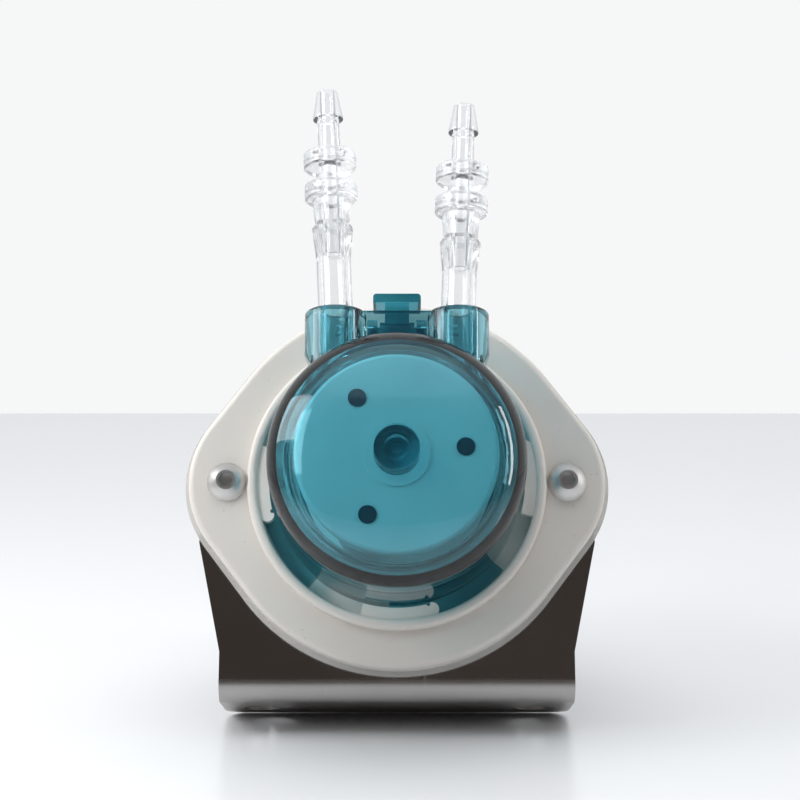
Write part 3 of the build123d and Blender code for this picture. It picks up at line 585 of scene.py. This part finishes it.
class PUMP_OT_motor(bpy.types.Operator):
    """Finish the stepper motor and its plug socket."""

    bl_idname = "pump.motor"
    bl_label = "Motor"

    def execute(self, context):
        look = context.scene.pump_look
        finish_nodes(cast_aluminium(look), "motor_front_cap", "motor_rear_cap")
        finish_nodes(black_laminations(look), "motor_stator", "rotor_core_front", "rotor_core_rear")
        finish_nodes(wound_copper(look), "stator_coils")
        finish_nodes(turned_steel("plated_magnet", look.aluminium_colour, 0.3), "rotor_magnet")
        finish_nodes(moulded_plastic("socket_nylon", look.socket_colour, 0.4, 0.1), "motor_socket")
        finish_nodes(turned_steel("tinned_contact", look.screw_colour, 0.25), "motor_socket_pins")
        return {"FINISHED"}


class PUMP_OT_stage(bpy.types.Operator):
    """Lay the floor, light the pump and place the camera."""

    bl_idname = "pump.stage"
    bl_label = "Stage"

    def execute(self, context):
        sizes = context.scene.pump_stage
        lay_floor(sizes)
        light_world(context.scene)
        hang_lights()
        place_camera(context.scene, sizes)
        context.scene.view_settings.view_transform = "Standard"
        return {"FINISHED"}


def lay_floor(sizes):
    """The pump leans back on its foot's rear edge and its motor's rear edge, so the floor slopes."""
    foot_edge = Vector((0, FOOT_HIGH[1], FOOT_LOW[2]))
    motor_edge = Vector((0, REAR_HIGH[1], REAR_LOW[2]))
    along = (motor_edge - foot_edge).normalized()
    reach = 1.0 / along.y
    deselect()
    bpy.ops.mesh.primitive_plane_add(size=2.0)
    floor = bpy.context.object
    floor.name = "studio_floor"
    middle_y = (sizes.floor_back - sizes.floor_front) / 2
    floor.scale = (sizes.floor_half, (sizes.floor_back + sizes.floor_front) / 2 * reach, 1.0)
    floor.rotation_euler = (math.atan2(along.z, along.y), 0, 0)
    drop = Vector((0, along.z, -along.y)) * FLOOR_GAP
    floor.location = foot_edge + along * ((middle_y - foot_edge.y) * reach) + drop
    deselect()
    floor.select_set(True)
    bpy.context.view_layer.objects.active = floor
    bpy.ops.object.transform_apply(location=True, rotation=True, scale=True)
    paint = Paint("matt_floor", metallic=0.0)
    cloud = paint.noise(6.0, 2.0)
    paint.link("Base Color", paint.mixed(cloud, FLOOR_DARK, FLOOR_LIGHT))
    paint.link("Roughness", 0.24 + cloud * 0.04)
    behind = paint.node("ShaderNodeNewGeometry", {}, {}, "Backfacing")
    clear = paint.node("ShaderNodeBsdfTransparent", {}, {})
    mix = paint.node("ShaderNodeMixShader", {}, {0: behind, 1: paint.shader.outputs[0], 2: clear})
    paint.tree.links.new(mix, paint.output.inputs["Surface"])
    floor.data.materials.append(paint.material)


def world_fade(tree, direction, span, top=1.0):
    """0 to top over this span of one axis of the view direction."""
    made = tree.nodes.new("ShaderNodeMapRange")
    made.interpolation_type = "SMOOTHSTEP"
    tree.links.new(direction, made.inputs["Value"])
    for key, value in (("From Min", span[0]), ("From Max", span[1]), ("To Min", 0.0), ("To Max", top)):
        made.inputs[key].default_value = value
    return made.outputs[0]


def world_tones(tree, amount, dark, light):
    made = tree.nodes.new("ShaderNodeValToRGB")
    made.color_ramp.elements[0].color = dark
    made.color_ramp.elements[1].color = light
    tree.links.new(amount, made.inputs[0])
    return made.outputs[0]


def world_choice(tree, test, otherwise, chosen):
    made = tree.nodes.new("ShaderNodeMixShader")
    for index, socket in enumerate((test, otherwise, chosen)):
        tree.links.new(socket, made.inputs[index])
    return made.outputs[0]


def light_world(scene):
    """A bright backdrop behind the pump and a dark room in front of it, as the steel face mirrors."""
    world = bpy.data.worlds.new("pale_studio")
    scene.world = world
    world.use_nodes = True
    tree = world.node_tree
    background = tree.nodes["Background"]
    coordinates = tree.nodes.new("ShaderNodeTexCoord")
    split = tree.nodes.new("ShaderNodeSeparateXYZ")
    tree.links.new(coordinates.outputs["Generated"], split.inputs[0])
    brighter = tree.nodes.new("ShaderNodeMath")
    brighter.operation = "MAXIMUM"
    tree.links.new(world_fade(tree, split.outputs["Y"], ROOM_SPAN), brighter.inputs[0])
    tree.links.new(world_fade(tree, split.outputs["Z"], OVERHEAD_SPAN, OVERHEAD_TOP), brighter.inputs[1])
    tones = world_tones(tree, brighter.outputs[0], ROOM_DARK, ROOM_LIGHT)
    through = world_fade(tree, split.outputs["Y"], THROUGH_SPAN)
    edges = world_tones(tree, through, THROUGH_DARK, BACKDROP)
    behind = tree.nodes.new("ShaderNodeBackground")
    backdrop = tree.nodes.new("ShaderNodeBackground")
    backdrop.inputs["Color"].default_value = BACKDROP
    tree.links.new(tones, background.inputs["Color"])
    tree.links.new(edges, behind.inputs["Color"])
    path = tree.nodes.new("ShaderNodeLightPath")
    bent = world_choice(tree, path.outputs["Is Transmission Ray"], background.outputs[0], behind.outputs[0])
    shown = world_choice(tree, path.outputs["Is Camera Ray"], bent, backdrop.outputs[0])
    tree.links.new(shown, tree.nodes["World Output"].inputs["Surface"])


def hang_lights():
    """Soft lamps that light the pump, two cards that mirror in its gloss and a wide sky lamp."""
    centre = Vector((AXIS_X, FLANGE_FRONT_Y, AXIS_Z))
    for name, offset, width, height, power, mirrored in SOFTBOXES:
        softbox(name, centre + Vector(offset), centre, width, height, power, mirrored)
    sky = bpy.data.lights.new("sky_lamp", "SUN")
    sky.energy = SKY_STRENGTH
    sky.angle = SKY_SPREAD
    lamp = bpy.data.objects.new("sky_lamp", sky)
    aim(lamp, Vector(SKY_AIM))
    lamp.visible_glossy = False
    bpy.context.scene.collection.objects.link(lamp)


def aim(thing, direction):
    thing.rotation_mode = "QUATERNION"
    thing.rotation_quaternion = direction.to_track_quat("-Z", "Y")


def softbox(name, place, target, width, height, power, mirrored):
    data = bpy.data.lights.new(name, "AREA")
    data.shape = "RECTANGLE"
    data.size = width
    data.size_y = height
    data.energy = power
    lamp = bpy.data.objects.new(name, data)
    lamp.location = place
    lamp.visible_glossy = mirrored
    aim(lamp, target - place)
    bpy.context.scene.collection.objects.link(lamp)


def place_camera(scene, sizes):
    data = bpy.data.cameras.new("studio_camera")
    data.lens = sizes.lens
    data.sensor_width = SENSOR_WIDTH
    data.clip_start = CLIP_NEAR
    data.clip_end = CLIP_FAR
    camera = bpy.data.objects.new("studio_camera", data)
    forward = Vector((0, math.cos(sizes.camera_pitch), math.sin(sizes.camera_pitch)))
    camera.location = (CAMERA_SIDE, FLANGE_FRONT_Y - sizes.camera_reach, AXIS_Z - sizes.camera_drop)
    aim(camera, forward)
    scene.collection.objects.link(camera)
    scene.camera = camera


STEPS = (PUMP_OT_bracket, PUMP_OT_flange, PUMP_OT_fasteners, PUMP_OT_threads, PUMP_OT_cartridge, PUMP_OT_tube,
         PUMP_OT_rotor, PUMP_OT_motor, PUMP_OT_stage)


class PUMP_PT_panel(bpy.types.Panel):
    """Lists the pump's steps and settings."""

    bl_idname = "PUMP_PT_panel"
    bl_label = "Peristaltic pump"
    bl_space_type = "VIEW_3D"
    bl_region_type = "UI"
    bl_category = "Pump"

    def draw(self, context):
        for step in STEPS:
            self.layout.operator(step.bl_idname)
        for group in (context.scene.pump_look, context.scene.pump_stage):
            for key in group.__annotations__:
                self.layout.prop(group, key)


CLASSES = (PumpLook, PumpStage, *STEPS, PUMP_PT_panel)


def register():
    for cls in CLASSES:
        bpy.utils.register_class(cls)
    bpy.types.Scene.pump_look = bpy.props.PointerProperty(type=PumpLook)
    bpy.types.Scene.pump_stage = bpy.props.PointerProperty(type=PumpStage)


def unregister():
    del bpy.types.Scene.pump_stage
    del bpy.types.Scene.pump_look
    for cls in reversed(CLASSES):
        bpy.utils.unregister_class(cls)


def main():
    register()
    for step in STEPS:
        group, name = step.bl_idname.split(".")
        getattr(getattr(bpy.ops, group), name)()


if __name__ == "__main__":
    main()
